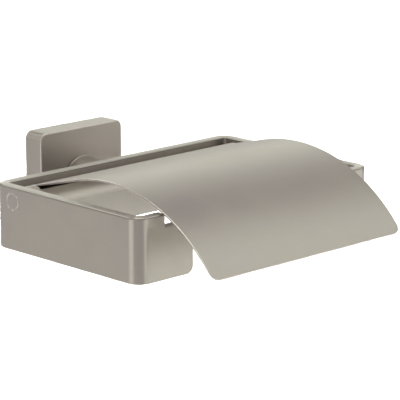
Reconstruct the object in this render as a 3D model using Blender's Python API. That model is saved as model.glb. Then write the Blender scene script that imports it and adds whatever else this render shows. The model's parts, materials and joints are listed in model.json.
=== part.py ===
"""Wall-mounted toilet paper holder: a bent flat-bar frame on a round post and a square wall plate,
with a thin curved lid that is rolled into a hinge barrel between the frame's side walls.

Metres, +Z up.  The wall is the plane Y = 0 and the object stands out from it towards -Y.
The origin is the centre of the mounting bracket's back face.
"""
import math

import bmesh
import bpy
from mathutils import Matrix, Vector

MM = 0.001
GAP = 0.3 * MM                        # running and assembly clearance between neighbouring pieces

# Wall plate, a square cover that is open at the back
PLATE_SIZE = 56.0 * MM
PLATE_DEPTH = 12.5 * MM
PLATE_WALL = 3.0 * MM
PLATE_CORNER_RADIUS = 4.0 * MM
PLATE_EDGE_RADIUS = 0.7 * MM

# Post between the wall plate and the frame
POST_LENGTH = 25.0 * MM
POST_RADIUS = 12.4 * MM
POST_FOOT_RADIUS = 13.0 * MM           # thin wider ring at the wall plate
POST_FOOT_LENGTH = 0.7 * MM
POST_CHAMFER = 0.6 * MM

# Frame, one flat bar bent on its flat into an open rectangle
FRAME_WIDTH = 160.0 * MM
FRAME_DEPTH = 105.0 * MM
FRAME_HEIGHT = 32.4 * MM
FRAME_TOP_Z = 15.9 * MM               # over the post's axis
BAR_THICKNESS = 5.2 * MM
FRAME_CORNER_RADIUS = 7.0 * MM
FRAME_EDGE_RADIUS = 0.45 * MM

# Front returns, which end in lowered tongues that reach into the roll's core
TONGUE_TIP_X = 44.1 * MM              # from the middle plane to the end of each tongue
TONGUE_STEP_X = 62.5 * MM             # from the middle plane to the step that stops the core
TONGUE_DROP = 6.4 * MM                # how far the tongue's top lies under the frame's top
TONGUE_TIP_RADIUS = 4.0 * MM

# Hinge of the lid
HINGE_FROM_BACK = 14.2 * MM           # from the frame's back face to the hinge axis
HINGE_FROM_TOP = 7.5 * MM             # from the frame's top to the hinge axis
BARREL_RADIUS = 6.0 * MM              # outside of the rolled barrel and of the knuckles at its ends
KNUCKLE_FLOOR = 1.3 * MM              # thickness of the knuckle's closed end
PIN_HEAD_RADIUS = 4.0 * MM
PIN_JOURNAL_RADIUS = 2.5 * MM
BUSH_WALL = 1.1 * MM
SPACER_THICKNESS = 0.8 * MM
SPACER_SETBACK = 0.5 * MM             # how far the spacer's rim lies inside the knuckle's

# Lid, a sheet that is rolled into the barrel, rises straight and then falls in one arc
LID_HALF_WIDTH = 65.0 * MM
LID_THICKNESS = 1.0 * MM
LID_EDGE_BEVEL = 0.2 * MM
LID_ROLL_END_DEG = 48.0               # how far above the level the roll's free edge is, from the hinge axis
LID_RISE_DEG = 14.3                   # slope of the straight part
LID_STRAIGHT = 33.5 * MM
LID_ARC_RADIUS = 92.0 * MM
LID_ARC_DEG = 66.0
LID_CORNER_RADIUS = 5.0 * MM

# Mounting bracket inside the wall plate
BRACKET_HALF_WIDTH = 22.0 * MM
BRACKET_THICKNESS = 2.0 * MM
BRACKET_BEND_RADIUS = 2.5 * MM
BRACKET_FLANGE_DEPTH = 9.0 * MM
SLOT_SPACING = 30.0 * MM
SLOT_LENGTH = 9.0 * MM
SLOT_RADIUS = 2.6 * MM

# Fasteners that clamp the wall plate and the post on the frame, and lock the plate on the bracket
STUD_RADIUS = 2.5 * MM                # M5
STUD_IN_FRAME = 4.0 * MM              # how deep the stud is screwed into the frame
STUD_BEYOND_NUT = 0.9 * MM
THREAD_TIP = 0.5 * MM                 # chamfer at the end of the thread
WASHER_RADIUS = 5.0 * MM
WASHER_THICKNESS = 1.0 * MM
LOCK_WASHER_RADIUS = 4.6 * MM
LOCK_WASHER_THICKNESS = 1.2 * MM
LOCK_WASHER_SPLIT = 1.2 * MM
NUT_ACROSS_FLATS = 8.0 * MM
NUT_THICKNESS = 2.7 * MM
DOWEL_RADIUS = 1.5 * MM
DOWEL_LENGTH = 8.0 * MM
DOWEL_OFFSET = 9.0 * MM               # from the post's axis up to the dowel
DOWEL_IN_FRAME = 3.5 * MM             # how deep the front dowel sits in the frame
GRUB_RADIUS = 2.0 * MM
GRUB_LENGTH = 5.0 * MM
GRUB_RECESS = 0.4 * MM
GRUB_HEX_ACROSS_FLATS = 2.0 * MM
GRUB_SOCKET_DEPTH = 2.0 * MM
HOLE_BOTTOM_SPARE = 0.7 * MM          # room between a dowel's end and the bottom of its hole

# Small chamfers
PIN_CHAMFER = 0.4 * MM
DOWEL_CHAMFER = 0.3 * MM
BUSH_CHAMFER = 0.2 * MM

# Cutters
OVER = 1.0 * MM                       # how far a cutter stands out past the face it opens
CUTTER_CHAMFER = 0.1 * MM
WASTE_OVER = 5.0 * MM                 # how far the tongue's waste reaches past the bar

# Where the pieces lie
PLATE_FRONT_Y = -PLATE_DEPTH
FRAME_BACK_Y = PLATE_FRONT_Y - POST_LENGTH
FRAME_FRONT_Y = FRAME_BACK_Y - FRAME_DEPTH
FRAME_BOTTOM_Z = FRAME_TOP_Z - FRAME_HEIGHT
FRAME_INNER_X = FRAME_WIDTH / 2 - BAR_THICKNESS
HINGE_Y = FRAME_BACK_Y - HINGE_FROM_BACK
HINGE_Z = FRAME_TOP_Z - HINGE_FROM_TOP
SPACER_OUTER_X = FRAME_INNER_X - GAP
KNUCKLE_OUTER_X = SPACER_OUTER_X - SPACER_THICKNESS - GAP
KNUCKLE_INNER_X = LID_HALF_WIDTH + GAP
GRUB_Y = -(BRACKET_BEND_RADIUS + BRACKET_FLANGE_DEPTH) / 2
BRACKET_HALF_HEIGHT = PLATE_SIZE / 2 - PLATE_WALL - GAP
WASHER_START = PLATE_WALL + GAP       # heights behind the wall plate's front face
LOCK_WASHER_START = WASHER_START + WASHER_THICKNESS + GAP
NUT_START = LOCK_WASHER_START + LOCK_WASHER_THICKNESS + GAP
STUD_BORE = STUD_RADIUS + GAP

SMALL_ROUND_STEPS = 16                # flats on a dowel
ROUND_STEPS = 32                      # flats on a screw, bush or pin
BARREL_ROUND_STEPS = 48               # flats on a knuckle
POST_ROUND_STEPS = 64
SMOOTH_ANGLE = math.radians(35)


# ---------------------------------------------------------------- materials

def make_material(name, colour, roughness, metallic):
    material = bpy.data.materials.new(name)
    material.use_nodes = True
    shader = material.node_tree.nodes["Principled BSDF"]
    shader.inputs["Base Color"].default_value = (*colour, 1.0)
    shader.inputs["Roughness"].default_value = roughness
    shader.inputs["Metallic"].default_value = metallic
    return material


# ---------------------------------------------------------------- building blocks

def add_object(name, mesh_data, material, location=(0, 0, 0), rotation=(0, 0, 0)):
    """Turn a bmesh into a shaded object of its own."""
    bmesh.ops.recalc_face_normals(mesh_data, faces=mesh_data.faces)
    mesh = bpy.data.meshes.new(name)
    mesh_data.to_mesh(mesh)
    mesh_data.free()
    mesh.shade_smooth()
    mesh.set_sharp_from_angle(angle=SMOOTH_ANGLE)
    mesh.materials.append(material)
    obj = bpy.data.objects.new(name, mesh)
    obj.location = location
    obj.rotation_euler = rotation
    bpy.context.collection.objects.link(obj)
    return obj


def loft(rings):
    """A closed solid through rings of equal point counts, capped at both ends."""
    solid = bmesh.new()
    loops = [[solid.verts.new(point) for point in ring] for ring in rings]
    count = len(rings[0])
    for lower, upper in zip(loops, loops[1:]):
        for i in range(count):
            j = (i + 1) % count
            solid.faces.new((lower[i], lower[j], upper[j], upper[i]))
    solid.faces.new(loops[0][::-1])
    solid.faces.new(loops[-1])
    return solid


def prism(outline, to_point, low, high):
    """Extrude a flat outline; to_point turns (u, v, height) into a place in space."""
    return loft([[to_point(u, v, height) for u, v in outline] for height in (low, high)])


def turned(profile, steps=ROUND_STEPS):
    """Turn a profile of (radius, height) points about local +Z.

    A profile that starts and ends on the axis gives a solid with two flat caps, any other a ring.
    """
    solid = bmesh.new()
    angles = [2 * math.pi * k / steps for k in range(steps)]
    directions = [(math.cos(angle), math.sin(angle)) for angle in angles]
    rings = []
    for radius, height in profile:
        if radius > 0:
            rings.append([solid.verts.new((radius * u, radius * v, height)) for u, v in directions])
    is_ring = profile[0][0] > 0
    pairs = list(zip(rings, rings[1:]))
    if is_ring:
        pairs.append((rings[-1], rings[0]))
    else:
        solid.faces.new(rings[0][::-1])
        solid.faces.new(rings[-1])
    for one, two in pairs:
        for k in range(steps):
            n = (k + 1) % steps
            solid.faces.new((one[k], one[n], two[n], two[k]))
    return solid


def tube_profile(inner, outer, low, high, chamfer=0.0):
    """Profile of a ring or sleeve, with chamfered outer edges if chamfer isn't 0."""
    if chamfer:
        outside = [(outer - chamfer, low), (outer, low + chamfer),
                   (outer, high - chamfer), (outer - chamfer, high)]
    else:
        outside = [(outer, low), (outer, high)]
    return [(inner, low), *outside, (inner, high)]


def rod_profile(radius, low, high, chamfer):
    """Profile of a solid rod with chamfered ends."""
    return [(0, low), (radius - chamfer, low), (radius, low + chamfer),
            (radius, high - chamfer), (radius - chamfer, high), (0, high)]


def hole_cutter(radius, low, high, steps=ROUND_STEPS):
    """Round cutter along local +Z."""
    return turned(rod_profile(radius, low, high, CUTTER_CHAMFER), steps)


def arc(centre_u, centre_v, radius, start_deg, end_deg, steps):
    angles = [math.radians(start_deg + (end_deg - start_deg) * k / steps) for k in range(steps + 1)]
    return [(centre_u + radius * math.cos(a), centre_v + radius * math.sin(a)) for a in angles]


def rounded_square(half, radius, steps=6):
    """Outline of a square with round corners, counter-clockwise."""
    outline = []
    for quarter, (side_u, side_v) in enumerate(((1, 1), (-1, 1), (-1, -1), (1, -1))):
        centre = half - radius
        outline += arc(side_u * centre, side_v * centre, radius, 90 * quarter, 90 * quarter + 90, steps)
    return outline


def along_x(u, v, height):
    return (height, u, v)


def along_y(u, v, height):
    return (u, height, v)


def along_z(u, v, height):
    return (u, v, height)


# Rotations that lay local +Z along a world direction
FACING_FRONT = (math.radians(90), 0, 0)       # -Y
FACING_WALL = (math.radians(-90), 0, 0)       # +Y
FACING_DOWN = (math.radians(180), 0, 0)       # -Z
FACING_RIGHT = (0, math.radians(90), 0)       # +X
FACING_LEFT = (0, math.radians(-90), 0)       # -X


def cut(obj, cutter_mesh, location=(0, 0, 0), rotation=(0, 0, 0)):
    """Cut a shape out of an object with a hidden cutter."""
    number = len(obj.modifiers)
    cutter = add_object(f"cutter_{obj.name}_{number}", cutter_mesh, obj.data.materials[0], location, rotation)
    cutter.hide_render = True
    cutter.display_type = "WIRE"
    modifier = obj.modifiers.new(f"cut_{number}", "BOOLEAN")
    modifier.operation = "DIFFERENCE"
    modifier.solver = "EXACT"
    modifier.object = cutter


def soften_edges(obj, width, segments):
    bevel = obj.modifiers.new("soft_edges", "BEVEL")
    bevel.width = width
    bevel.segments = segments
    bevel.limit_method = "ANGLE"
    bevel.angle_limit = math.radians(40)


def hex_bar(across_flats, low, high):
    """Hexagonal bar along local +Z."""
    radius = across_flats / math.sqrt(3)
    return turned([(0, low), (radius, low), (radius, high), (0, high)], steps=6)


# ---------------------------------------------------------------- wall side

def make_wall_plate(material):
    """Square cover, open at the back, with its front edge rounded over."""
    half = PLATE_SIZE / 2
    edge_steps = 3
    rings = [[along_y(u, v, 0.0) for u, v in rounded_square(half, PLATE_CORNER_RADIUS)]]
    for k in range(edge_steps + 1):
        angle = math.radians(90) * k / edge_steps
        inset = PLATE_EDGE_RADIUS * (1 - math.cos(angle))
        depth = PLATE_DEPTH - PLATE_EDGE_RADIUS * (1 - math.sin(angle))
        outline = rounded_square(half - inset, PLATE_CORNER_RADIUS - inset)
        rings.append([along_y(u, v, -depth) for u, v in outline])
    plate = add_object("wall_plate", loft(rings), material)

    cavity_outline = rounded_square(half - PLATE_WALL, PLATE_CORNER_RADIUS - PLATE_WALL)
    cut(plate, prism(cavity_outline, along_y, PLATE_WALL - PLATE_DEPTH, OVER))
    through = PLATE_WALL + OVER
    cut(plate, hole_cutter(STUD_BORE, -OVER, through), (0, PLATE_FRONT_Y, 0), FACING_WALL)
    cut(plate, hole_cutter(DOWEL_RADIUS + GAP, -OVER, through), (0, PLATE_FRONT_Y, DOWEL_OFFSET), FACING_WALL)
    cut(plate, hole_cutter(GRUB_RADIUS + GAP, -OVER, through), (0, GRUB_Y, -half))
    return plate


def make_mounting_bracket(material):
    """Channel of bent steel; its base lies on the wall and its flanges carry the cover."""
    high = BRACKET_HALF_HEIGHT
    outer = BRACKET_BEND_RADIUS
    inner = outer - BRACKET_THICKNESS
    bend_steps = 4
    bend_y = -outer
    bend_z = high - outer
    front = -BRACKET_FLANGE_DEPTH
    profile = [(front, high), (front, high - BRACKET_THICKNESS)]
    profile += arc(bend_y, bend_z, inner, 90, 0, bend_steps)
    profile += arc(bend_y, -bend_z, inner, 0, -90, bend_steps)
    profile += [(front, BRACKET_THICKNESS - high), (front, -high)]
    profile += arc(bend_y, -bend_z, outer, -90, 0, bend_steps)
    profile += arc(bend_y, bend_z, outer, 0, 90, bend_steps)
    channel = prism(profile, along_x, -BRACKET_HALF_WIDTH, BRACKET_HALF_WIDTH)
    bracket = add_object("mounting_bracket", channel, material)

    straight = SLOT_LENGTH / 2 - SLOT_RADIUS
    slot_steps = 8
    for side in (-1, 1):
        centre = side * SLOT_SPACING / 2
        slot = arc(centre + straight, 0, SLOT_RADIUS, -90, 90, slot_steps)
        slot += arc(centre - straight, 0, SLOT_RADIUS, 90, 270, slot_steps)
        cut(bracket, prism(slot, along_y, -BRACKET_THICKNESS - OVER, OVER))
    cut(bracket, hole_cutter(GRUB_RADIUS + GAP, -OVER, BRACKET_THICKNESS + OVER), (0, GRUB_Y, -high))
    return bracket


def make_grub_screw(material):
    """Socket grub screw that locks the cover to the bracket from below."""
    rod = turned(rod_profile(GRUB_RADIUS, -GRUB_LENGTH, 0, PIN_CHAMFER), ROUND_STEPS)
    outer_end = (0, GRUB_Y, GRUB_RECESS - PLATE_SIZE / 2)
    screw = add_object("grub_screw", rod, material, outer_end, FACING_DOWN)
    socket = hex_bar(GRUB_HEX_ACROSS_FLATS, -GRUB_SOCKET_DEPTH, OVER)
    cut(screw, socket, outer_end, FACING_DOWN)
    return screw


# ---------------------------------------------------------------- post and its fasteners

def make_post(material):
    """Round post, bored through for the stud, with a dowel hole in each end."""
    foot_top = GAP + POST_FOOT_LENGTH
    step = POST_FOOT_RADIUS - POST_RADIUS
    profile = [(0, GAP), (POST_FOOT_RADIUS, GAP), (POST_FOOT_RADIUS, foot_top - step / 2)]
    profile.append((POST_RADIUS, foot_top))
    profile += rod_profile(POST_RADIUS, GAP, POST_LENGTH - GAP, POST_CHAMFER)[3:]
    rod = turned(profile, POST_ROUND_STEPS)
    post = add_object("post", rod, material, (0, PLATE_FRONT_Y, 0), FACING_FRONT)
    cut(post, hole_cutter(STUD_BORE, -OVER, POST_LENGTH + OVER), (0, PLATE_FRONT_Y, 0), FACING_FRONT)
    dowel_depth = DOWEL_LENGTH / 2 + HOLE_BOTTOM_SPARE
    for y, facing in ((PLATE_FRONT_Y, FACING_FRONT), (FRAME_BACK_Y, FACING_WALL)):
        dowel_hole = hole_cutter(DOWEL_RADIUS + GAP, -OVER, dowel_depth, SMALL_ROUND_STEPS)
        cut(post, dowel_hole, (0, y, DOWEL_OFFSET), facing)
    return post


def make_clamp_stud(material):
    """Threaded stud, fixed in the frame's blind hole, that runs through the post to the nut."""
    front_end = -POST_LENGTH - STUD_IN_FRAME
    rear_end = NUT_START + NUT_THICKNESS + STUD_BEYOND_NUT
    rod = turned(rod_profile(STUD_RADIUS, front_end, rear_end, THREAD_TIP))
    return add_object("clamp_stud", rod, material, (0, PLATE_FRONT_Y, 0), FACING_WALL)


def make_clamp_washer(material):
    ring = turned(tube_profile(STUD_BORE, WASHER_RADIUS, WASHER_START, WASHER_START + WASHER_THICKNESS))
    return add_object("clamp_washer", ring, material, (0, PLATE_FRONT_Y, 0), FACING_WALL)


def make_clamp_lock_washer(material):
    """Split spring washer under the nut."""
    end = LOCK_WASHER_START + LOCK_WASHER_THICKNESS
    ring = turned(tube_profile(STUD_BORE, LOCK_WASHER_RADIUS, LOCK_WASHER_START, end))
    washer = add_object("clamp_lock_washer", ring, material, (0, PLATE_FRONT_Y, 0), FACING_WALL)
    half = LOCK_WASHER_SPLIT / 2
    reach = LOCK_WASHER_RADIUS + OVER
    split = prism([(-half, 0), (half, 0), (half, reach), (-half, reach)], along_z, 0, end + OVER)
    cut(washer, split, (0, PLATE_FRONT_Y, 0), FACING_WALL)
    return washer


def make_clamp_nut(material):
    """Thin hexagon nut, inside the wall plate, that clamps plate and post on the frame."""
    end = NUT_START + NUT_THICKNESS
    bar = hex_bar(NUT_ACROSS_FLATS, NUT_START, end)
    nut = add_object("clamp_nut", bar, material, (0, PLATE_FRONT_Y, 0), FACING_WALL)
    cut(nut, hole_cutter(STUD_BORE, NUT_START - OVER, end + OVER), (0, PLATE_FRONT_Y, 0), FACING_WALL)
    return nut


def make_dowel(name, joint_y, front_length, material):
    """Locating dowel across a joint; front_length is how far it reaches forward of the joint."""
    profile = rod_profile(DOWEL_RADIUS, -front_length, DOWEL_LENGTH - front_length, DOWEL_CHAMFER)
    rod = turned(profile, SMALL_ROUND_STEPS)
    return add_object(name, rod, material, (0, joint_y, DOWEL_OFFSET), FACING_WALL)


# ---------------------------------------------------------------- frame

def frame_outline():
    """Plan of the bent bar, from the right tongue's tip round the back to the left one and back inside."""
    half = FRAME_WIDTH / 2
    radius = FRAME_CORNER_RADIUS
    inner_radius = radius - BAR_THICKNESS
    tip = TONGUE_TIP_X - OVER             # the tongue's waste trims it back
    centre_x = half - radius
    front_y = FRAME_FRONT_Y + radius
    back_y = FRAME_BACK_Y - radius
    steps = 10
    inner_steps = 5
    outline = [(tip, FRAME_FRONT_Y)]
    outline += arc(centre_x, front_y, radius, -90, 0, steps)
    outline += arc(centre_x, back_y, radius, 0, 90, steps)
    outline += arc(-centre_x, back_y, radius, 90, 180, steps)
    outline += arc(-centre_x, front_y, radius, 180, 270, steps)
    outline += [(-tip, FRAME_FRONT_Y), (-tip, FRAME_FRONT_Y + BAR_THICKNESS)]
    outline += arc(-centre_x, front_y, inner_radius, 270, 180, inner_steps)
    outline += arc(-centre_x, back_y, inner_radius, 180, 90, inner_steps)
    outline += arc(centre_x, back_y, inner_radius, 90, 0, inner_steps)
    outline += arc(centre_x, front_y, inner_radius, 0, -90, inner_steps)
    outline += [(tip, FRAME_FRONT_Y + BAR_THICKNESS)]
    return outline


def tongue_waste(side):
    """What is cut away round one tongue, seen from the front: the step above it and its round corners."""
    top = FRAME_TOP_Z
    bottom = FRAME_BOTTOM_Z
    ledge = top - TONGUE_DROP
    radius = TONGUE_TIP_RADIUS
    round_x = TONGUE_TIP_X + radius
    high = top + WASTE_OVER
    low = bottom - WASTE_OVER
    beyond_x = TONGUE_TIP_X - WASTE_OVER
    steps = 7
    outline = [(TONGUE_STEP_X, high), (TONGUE_STEP_X, ledge)]
    outline += arc(round_x, ledge - radius, radius, 90, 180, steps)
    outline += arc(round_x, bottom + radius, radius, 180, 270, steps)
    outline += [(round_x, low), (beyond_x, low), (beyond_x, high)]
    return [(side * u, v) for u, v in outline]


def make_frame(material):
    """Bent flat bar with lowered tongues at the front, pin holes in the sides and blind holes at the back."""
    bar = prism(frame_outline(), along_z, FRAME_BOTTOM_Z, FRAME_TOP_Z)
    frame = add_object("frame", bar, material)
    for side in (-1, 1):
        waste = prism(tongue_waste(side), along_y, FRAME_FRONT_Y - OVER, FRAME_FRONT_Y + BAR_THICKNESS + OVER)
        cut(frame, waste)
    soften_edges(frame, FRAME_EDGE_RADIUS, 2)

    for side, facing in ((-1, FACING_LEFT), (1, FACING_RIGHT)):
        pin_hole = hole_cutter(PIN_HEAD_RADIUS + GAP, -BAR_THICKNESS - OVER, OVER)
        cut(frame, pin_hole, (side * FRAME_WIDTH / 2, HINGE_Y, HINGE_Z), facing)
    stud_hole = hole_cutter(STUD_BORE, -OVER, STUD_IN_FRAME + GAP)
    cut(frame, stud_hole, (0, FRAME_BACK_Y, 0), FACING_FRONT)
    dowel_hole = hole_cutter(DOWEL_RADIUS + GAP, -OVER, DOWEL_IN_FRAME + GAP, SMALL_ROUND_STEPS)
    cut(frame, dowel_hole, (0, FRAME_BACK_Y, DOWEL_OFFSET), FACING_FRONT)
    return frame


# ---------------------------------------------------------------- lid

def lid_stations():
    """Points along the lid's outer face from the roll's free edge to the front edge.

    Each is (y, z, normal_y, normal_z, distance left to the front edge).
    """
    rise = math.radians(LID_RISE_DEG)
    turn = math.radians(LID_ARC_DEG)
    roll_start = math.radians(270 + LID_ROLL_END_DEG)
    roll_steps = 34
    arc_steps = 30
    corner_steps = 7
    stations = []
    arc_length = LID_ARC_RADIUS * turn
    for k in range(roll_steps + 1):
        angle = roll_start + (rise - roll_start) * k / roll_steps
        y = HINGE_Y + BARREL_RADIUS * math.sin(angle)
        z = HINGE_Z + BARREL_RADIUS * math.cos(angle)
        stations.append((y, z, math.sin(angle), math.cos(angle), arc_length + LID_STRAIGHT))
    y -= LID_STRAIGHT * math.cos(rise)
    z += LID_STRAIGHT * math.sin(rise)
    centre_y = y - LID_ARC_RADIUS * math.sin(rise)
    centre_z = z - LID_ARC_RADIUS * math.cos(rise)
    corner_start = 1 - LID_CORNER_RADIUS / arc_length
    shares = [corner_start * k / arc_steps for k in range(arc_steps + 1)]
    for k in range(1, corner_steps + 1):
        reach = math.sin(math.radians(90) * k / corner_steps)
        shares.append(corner_start + (1 - corner_start) * reach)
    for share in shares:
        angle = rise - turn * share
        y = centre_y + LID_ARC_RADIUS * math.sin(angle)
        z = centre_z + LID_ARC_RADIUS * math.cos(angle)
        stations.append((y, z, math.sin(angle), math.cos(angle), arc_length * (1 - share)))
    return stations


def lid_half_width(to_front):
    """Half width of the sheet, which narrows round the two front corners."""
    into_corner = max(0.0, LID_CORNER_RADIUS - to_front)
    return LID_HALF_WIDTH - LID_CORNER_RADIUS + math.sqrt(LID_CORNER_RADIUS ** 2 - into_corner ** 2)


def hinge_centre():
    """Empty on the hinge axis, which carries the lid and what turns with it."""
    centre = bpy.data.objects.new("lid_hinge_axis", None)
    centre.location = (0, HINGE_Y, HINGE_Z)
    bpy.context.collection.objects.link(centre)
    return centre


def place_on_hinge(obj, centre):
    """Hang a piece on the hinge axis without moving it."""
    obj.parent = centre
    obj.matrix_parent_inverse = Matrix.Translation(Vector(centre.location)).inverted()


def make_lid(material):
    """Sheet of constant thickness, lofted across its width from the rolled barrel to the front edge."""
    rings = []
    for y, z, normal_y, normal_z, to_front in lid_stations():
        half = lid_half_width(to_front)
        inner_y = y - LID_THICKNESS * normal_y
        inner_z = z - LID_THICKNESS * normal_z
        rings.append([(-half, y, z), (half, y, z), (half, inner_y, inner_z), (-half, inner_y, inner_z)])
    lid = add_object("lid", loft(rings), material)
    soften_edges(lid, LID_EDGE_BEVEL, 1)
    return lid


def make_hinge_side(side, name, centre, nickel, nylon, dark_nylon):
    """Knuckle, bush, spacer and pin on one side; local +Z points outwards along the hinge axis."""
    facing = FACING_RIGHT if side > 0 else FACING_LEFT
    axis_point = (0, HINGE_Y, HINGE_Z)
    journal_bore = PIN_JOURNAL_RADIUS + GAP
    bush_radius = journal_bore + BUSH_WALL
    knuckle_bore = bush_radius + GAP
    bore_bottom = KNUCKLE_INNER_X + KNUCKLE_FLOOR
    bush_start = bore_bottom + GAP
    knuckle_rim = BARREL_RADIUS - PIN_CHAMFER

    knuckle_profile = [(0, KNUCKLE_INNER_X), (BARREL_RADIUS, KNUCKLE_INNER_X),
                       (BARREL_RADIUS, KNUCKLE_OUTER_X - PIN_CHAMFER), (knuckle_rim, KNUCKLE_OUTER_X),
                       (knuckle_bore, KNUCKLE_OUTER_X), (knuckle_bore, bore_bottom), (0, bore_bottom)]
    knuckle_mesh = turned(knuckle_profile, BARREL_ROUND_STEPS)
    knuckle = add_object(f"hinge_knuckle_{name}", knuckle_mesh, nickel, axis_point, facing)
    place_on_hinge(knuckle, centre)

    bush_profile = tube_profile(journal_bore, bush_radius, bush_start, KNUCKLE_OUTER_X, BUSH_CHAMFER)
    bush = add_object(f"hinge_bush_{name}", turned(bush_profile), nylon, axis_point, facing)
    place_on_hinge(bush, centre)

    spacer_radius = BARREL_RADIUS - SPACER_SETBACK
    spacer_start = SPACER_OUTER_X - SPACER_THICKNESS
    spacer_profile = tube_profile(journal_bore, spacer_radius, spacer_start, SPACER_OUTER_X)
    add_object(f"hinge_spacer_{name}", turned(spacer_profile), dark_nylon, axis_point, facing)

    journal_start = bush_start + 2 * GAP
    head_bottom = FRAME_INNER_X + GAP
    head_top = FRAME_WIDTH / 2
    pin_profile = [(0, journal_start), (PIN_JOURNAL_RADIUS - PIN_CHAMFER, journal_start),
                   (PIN_JOURNAL_RADIUS, journal_start + PIN_CHAMFER), (PIN_JOURNAL_RADIUS, head_bottom),
                   (PIN_HEAD_RADIUS, head_bottom), (PIN_HEAD_RADIUS, head_top - PIN_CHAMFER),
                   (PIN_HEAD_RADIUS - PIN_CHAMFER, head_top), (0, head_top)]
    add_object(f"hinge_pin_{name}", turned(pin_profile), nickel, axis_point, facing)


# ---------------------------------------------------------------- assembly

def main():
    for obj in list(bpy.data.objects):
        bpy.data.objects.remove(obj, do_unlink=True)

    nickel = make_material("brushed_nickel", (0.54, 0.50, 0.45), 0.34, 1.0)
    steel = make_material("stainless_steel", (0.56, 0.56, 0.55), 0.30, 1.0)
    zinc = make_material("zinc_plated_steel", (0.62, 0.64, 0.66), 0.42, 1.0)
    nylon = make_material("white_nylon", (0.82, 0.80, 0.74), 0.55, 0.0)
    dark_nylon = make_material("dark_nylon", (0.05, 0.05, 0.05), 0.50, 0.0)

    make_wall_plate(nickel)
    make_mounting_bracket(zinc)
    make_grub_screw(steel)
    make_post(nickel)
    make_clamp_stud(steel)
    make_clamp_washer(steel)
    make_clamp_lock_washer(steel)
    make_clamp_nut(steel)
    make_dowel("rear_dowel", PLATE_FRONT_Y, DOWEL_LENGTH / 2, steel)
    make_dowel("front_dowel", FRAME_BACK_Y, DOWEL_IN_FRAME, steel)
    make_frame(nickel)

    centre = hinge_centre()
    place_on_hinge(make_lid(nickel), centre)
    for side, name in ((-1, "left"), (1, "right")):
        make_hinge_side(side, name, centre, nickel, nylon, dark_nylon)


main()
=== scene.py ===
import json
import math

import bmesh
import bpy
from mathutils import Matrix, Vector


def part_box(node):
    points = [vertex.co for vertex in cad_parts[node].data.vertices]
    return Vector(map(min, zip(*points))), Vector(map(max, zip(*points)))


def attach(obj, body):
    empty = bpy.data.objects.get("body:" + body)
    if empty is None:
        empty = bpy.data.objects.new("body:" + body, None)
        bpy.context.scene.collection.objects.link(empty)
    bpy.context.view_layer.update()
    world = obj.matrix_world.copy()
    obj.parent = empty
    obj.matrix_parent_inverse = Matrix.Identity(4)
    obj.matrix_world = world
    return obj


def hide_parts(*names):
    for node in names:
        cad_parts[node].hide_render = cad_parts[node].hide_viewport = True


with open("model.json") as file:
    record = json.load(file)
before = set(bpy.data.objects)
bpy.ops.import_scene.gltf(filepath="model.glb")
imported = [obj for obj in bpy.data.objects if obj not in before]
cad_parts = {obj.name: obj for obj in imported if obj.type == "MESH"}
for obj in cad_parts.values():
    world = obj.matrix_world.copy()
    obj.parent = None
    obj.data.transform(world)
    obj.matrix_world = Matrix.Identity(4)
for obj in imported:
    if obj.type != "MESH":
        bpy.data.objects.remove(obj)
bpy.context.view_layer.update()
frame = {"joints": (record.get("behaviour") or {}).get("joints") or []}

# Fine, finished pieces for a wall-mounted toilet paper holder, built round the imported frame.
# Metres, +Z up, the wall is the plane Y = 0 and the object stands out towards -Y.
# Sheets and the bar are made flat in (u, v) with their thickness along the third axis, and then bent.
# Round pieces are turned about local +Z. The face layer "edge" says how much a face is lightened, partly as
# wear and partly as a painted highlight.

MM = 0.001

# ---------------------------------------------------------------- sizes that the frame gives

plate_low, plate_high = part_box("wall_plate")
post_low, post_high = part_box("post")
bar_low, bar_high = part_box("frame")
bracket_low, bracket_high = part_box("mounting_bracket")
stud_low, stud_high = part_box("clamp_stud")
nut_low, nut_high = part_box("clamp_nut")
washer_low, washer_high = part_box("clamp_washer")
lock_low, lock_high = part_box("clamp_lock_washer")
grub_low, grub_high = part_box("grub_screw")
HINGE = Vector(frame["joints"][0]["pos_m"])

PLATE_HALF = plate_high.x
PLATE_FRONT_Y = plate_low.y
POST_FOOT_RADIUS = post_high.x
BAR_BACK_Y = bar_high.y
BAR_FRONT_Y = bar_low.y
BAR_HALF_WIDTH = bar_high.x
BAR_TOP = bar_high.z
BAR_BOTTOM = bar_low.z
LID_HALF_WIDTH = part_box("lid")[1].x
BARREL_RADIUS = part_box("hinge_knuckle_left")[1].z - HINGE.z

# ---------------------------------------------------------------- shape of the real pieces

PLATE_WALL = 3.0 * MM
PLATE_CORNER = 4.0 * MM
PLATE_EDGE = 0.8 * MM
POST_RADIUS = POST_FOOT_RADIUS - 0.6 * MM
POST_FOOT_LENGTH = 0.7 * MM
POST_CHAMFER = 0.6 * MM
BAR_THICKNESS = 5.2 * MM
BAR_CORNER = 7.0 * MM
BAR_EDGE = 0.8 * MM
TONGUE_TIP_X = 44.1 * MM
TONGUE_STEP_X = 62.5 * MM
TONGUE_DROP = 6.4 * MM
TONGUE_TIP_RADIUS = 4.0 * MM
STEP_FILLET = 0.5 * MM
PIN_HOLE_RADIUS = 4.3 * MM
PIN_GROOVE = 0.42 * MM
PIN_HEAD_RADIUS = 4.28 * MM
PIN_JOURNAL_RADIUS = 2.5 * MM
LID_THICKNESS = 1.0 * MM
LID_EDGE = 0.3 * MM
LID_ROLL_END_DEG = 48.0
LID_RISE_DEG = 14.3
LID_STRAIGHT = 33.5 * MM
LID_ARC_RADIUS = 92.0 * MM
LID_ARC_DEG = 66.0
LID_CORNER = 5.0 * MM
BRACKET_THICKNESS = 2.0 * MM
BRACKET_BEND = 2.5 * MM
SLOT_SPACING = 30.0 * MM
SLOT_LENGTH = 9.0 * MM
SLOT_RADIUS = 2.6 * MM
STUD_BORE = 2.8 * MM
DOWEL_BORE = 1.8 * MM
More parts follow.
